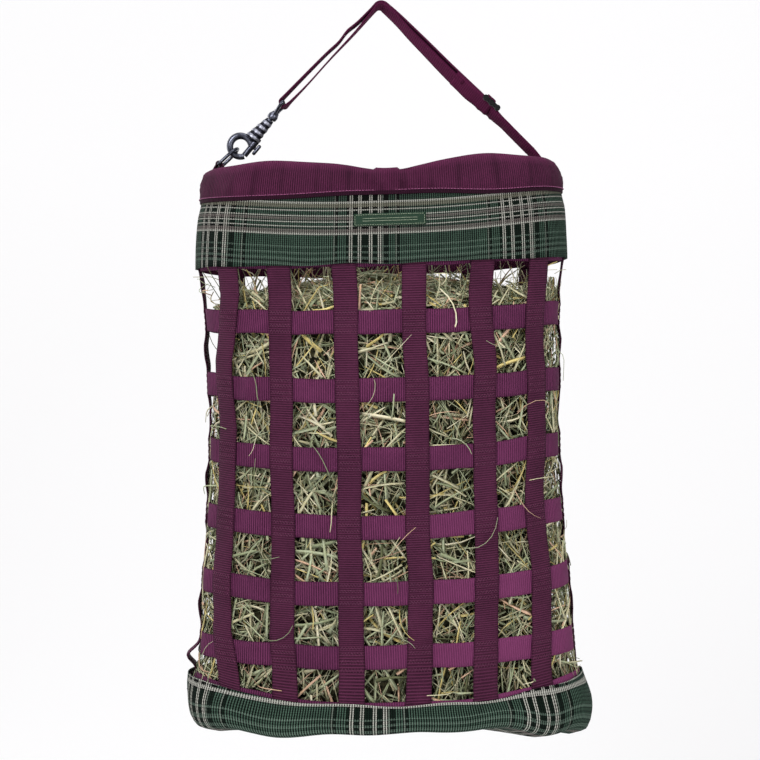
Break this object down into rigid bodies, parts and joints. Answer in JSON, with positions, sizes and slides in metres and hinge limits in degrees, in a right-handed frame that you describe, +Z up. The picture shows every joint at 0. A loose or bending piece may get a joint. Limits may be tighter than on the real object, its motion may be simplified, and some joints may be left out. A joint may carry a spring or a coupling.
{
  "type": "hay net",
  "caption": "Slow-feed hay bag: sewn webbing net with plaid mesh collar and base, filled with hay, hung by an adjustable strap handle with a swivel bolt snap clipped to a D-ring.",
  "frame": {"origin": "hang point: where a stall hook bears on the inside of the handle's crest", "axes": "+Z up, front of the bag towards -Y, +X to the end where the handle is sewn in"},
  "size_m": [0.4408, 0.197, 0.7816],
  "materials": {
    "webbing": "matte",
    "plaid_mesh": "matte",
    "label": "matte",
    "hay": "matte",
    "black_plastic": "satin",
    "dark_steel": "gloss"
  },
  "bodies": {
    "handle": {"handle_strap": "webbing", "snap_eye": "dark_steel"},
    "slider": {"strap_slider": "black_plastic", "strap_end_fold": "webbing"},
    "snap_hook": {"snap_hook": "dark_steel"},
    "snap_bolt": {"snap_bolt": "dark_steel"},
    "bag": {"hem_binding": "webbing", "collar_panel": "plaid_mesh", "collar_label": "label", "net_top_tape": "webbing", "row_strap_1": "webbing", "row_strap_2": "webbing", "row_strap_3": "webbing", "row_strap_4": "webbing", "row_strap_5": "webbing", "row_strap_6": "webbing", "column_strap_01": "webbing", "column_strap_02": "webbing", "column_strap_03": "webbing", "column_strap_04": "webbing", "column_strap_05": "webbing", "column_strap_06": "webbing", "column_strap_07": "webbing", "column_strap_08": "webbing", "column_strap_09": "webbing", "column_strap_10": "webbing", "column_strap_11": "webbing", "column_strap_12": "webbing", "column_strap_13": "webbing", "column_strap_14": "webbing", "net_bottom_tape": "webbing", "base_panel": "plaid_mesh", "hay_fill": "hay", "ring_tab": "webbing", "handle_anchor": "webbing"},
    "d_ring": {"d_ring": "dark_steel"}
  },
  "joints": [
    {"name": "bag_swing", "type": "hinge", "parent": "handle", "child": "bag", "pos_m": [0, 0, -0.15335], "axis": [1, 0, 0], "range_deg": [-25, 25]},
    {"name": "ring_pivot", "type": "hinge", "parent": "bag", "child": "d_ring", "pos_m": [-0.1746, 0, -0.1713], "axis": [0, 1, 0], "range_deg": [-2, 2]},
    {"name": "snap_swivel", "type": "hinge", "parent": "handle", "child": "snap_hook", "pos_m": [-0.1045, 0, -0.1032], "axis": [0.6347, 0, 0.7727], "range_deg": [-12, 12]},
    {"name": "bolt_slide", "type": "slide", "parent": "snap_hook", "child": "snap_bolt", "axis": [0.6347, 0, 0.7727], "range_m": [0, 0.007], "stiffness_N_per_m": 800, "springref_m": -0.004},
    {"name": "slider_slide", "type": "slide", "parent": "handle", "child": "slider", "axis": [-0.7455, 0, 0.6665], "range_m": [0, 0.025]}
  ]
}
